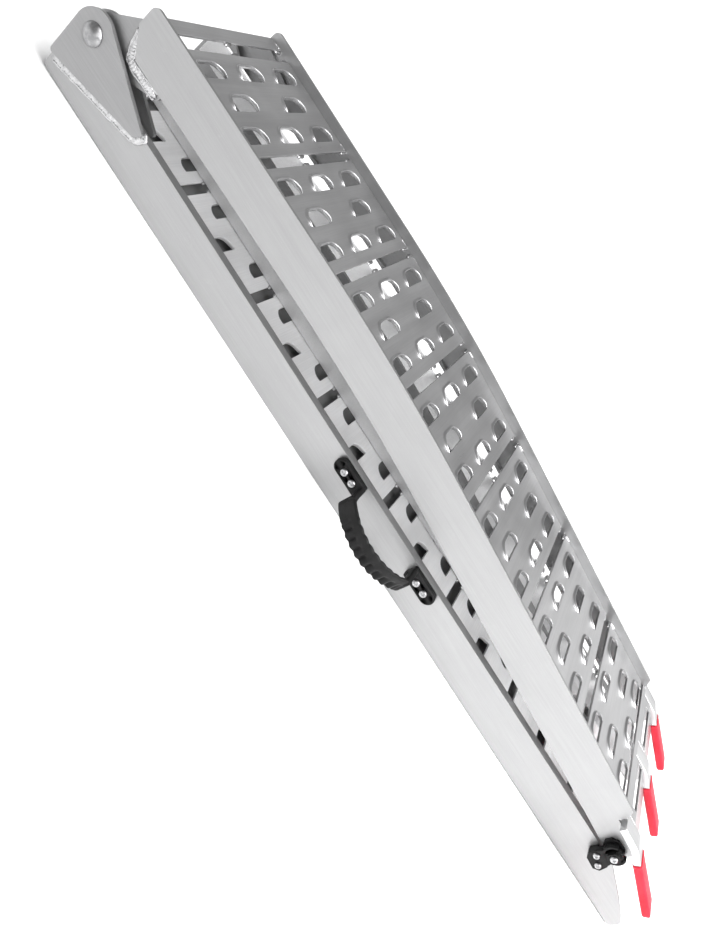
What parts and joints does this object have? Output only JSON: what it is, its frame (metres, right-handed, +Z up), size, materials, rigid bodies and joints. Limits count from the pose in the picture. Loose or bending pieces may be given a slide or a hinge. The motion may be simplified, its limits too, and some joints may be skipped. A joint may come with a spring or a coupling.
{
  "type": "folding loading ramp",
  "caption": "Arched aluminium loading ramp that folds in half on a bolted hinge, with D-hole treads, hooked lip fingers, a side carrying handle and a quarter-turn latch.",
  "frame": {"origin": "on the floor under the middle of the folded ramp's box, which includes the handle and the lip fingers", "axes": "+X from the hinge to the lip, +Y from the handle side to the far side, +Z up; the lip half lies on the lower half with its traction side up"},
  "size_m": [1.181, 0.3262, 0.157],
  "materials": {
    "mill_aluminium": "satin, mill-finished extrusion and plate",
    "dark_steel": "zinc-plated, slightly dulled",
    "bright_screws": "bright zinc",
    "red_vinyl": "dipped soft vinyl, satin",
    "black_rubber": "satin, ribbed",
    "black_plastic": "satin"
  },
  "bodies": {
    "lower_half": {"rail_lower_near": "mill_aluminium", "rail_lower_far": "mill_aluminium", "tread_lower_1": "mill_aluminium", "tread_lower_2": "mill_aluminium", "tread_lower_3": "mill_aluminium", "tread_lower_4": "mill_aluminium", "tread_lower_5": "mill_aluminium", "tread_lower_6": "mill_aluminium", "tread_lower_7": "mill_aluminium", "hinge_strip_lower": "mill_aluminium", "foot_plate": "mill_aluminium", "spine_lower": "mill_aluminium", "clevis_outer_near": "mill_aluminium", "clevis_outer_far": "mill_aluminium", "clevis_inner_near": "mill_aluminium", "clevis_inner_far": "mill_aluminium", "hinge_bolt_near": "dark_steel", "hinge_bolt_far": "dark_steel", "hinge_nut_near": "dark_steel", "hinge_nut_far": "dark_steel", "hinge_spacers_near": "dark_steel", "hinge_spacers_far": "dark_steel", "handle_grip": "black_rubber", "handle_cap_hinge_end": "black_plastic", "handle_cap_lip_end": "black_plastic", "latch_jaw": "black_plastic", "handle_screws": "bright_screws", "latch_jaw_screws": "bright_screws"},
    "lip_half": {"rail_lip_near": "mill_aluminium", "rail_lip_far": "mill_aluminium", "tread_lip_1": "mill_aluminium", "tread_lip_2": "mill_aluminium", "tread_lip_3": "mill_aluminium", "tread_lip_4": "mill_aluminium", "tread_lip_5": "mill_aluminium", "tread_lip_6": "mill_aluminium", "tread_lip_7": "mill_aluminium", "hinge_strip_lip": "mill_aluminium", "spine_lip": "mill_aluminium", "lip_plate": "mill_aluminium", "hinge_arm_near": "mill_aluminium", "hinge_arm_far": "mill_aluminium", "latch_base": "black_plastic", "latch_knob_screw": "bright_screws", "finger_near": "mill_aluminium", "finger_middle": "mill_aluminium", "finger_far": "mill_aluminium", "finger_sleeve_near": "red_vinyl", "finger_sleeve_middle": "red_vinyl", "finger_sleeve_far": "red_vinyl"},
    "knob": {"latch_knob": "black_plastic"}
  },
  "joints": [
    {"name": "fold", "type": "hinge", "parent": "lower_half", "child": "lip_half", "pos_m": [-0.5655, 0.02385, 0.07433], "axis": [0, -1, 0], "range_deg": [0, 180]},
    {"name": "latch_turn", "type": "hinge", "parent": "lip_half", "child": "knob", "pos_m": [0.486, -0.11115, 0.06983], "axis": [0, -1, 0], "range_deg": [0, 90]}
  ]
}
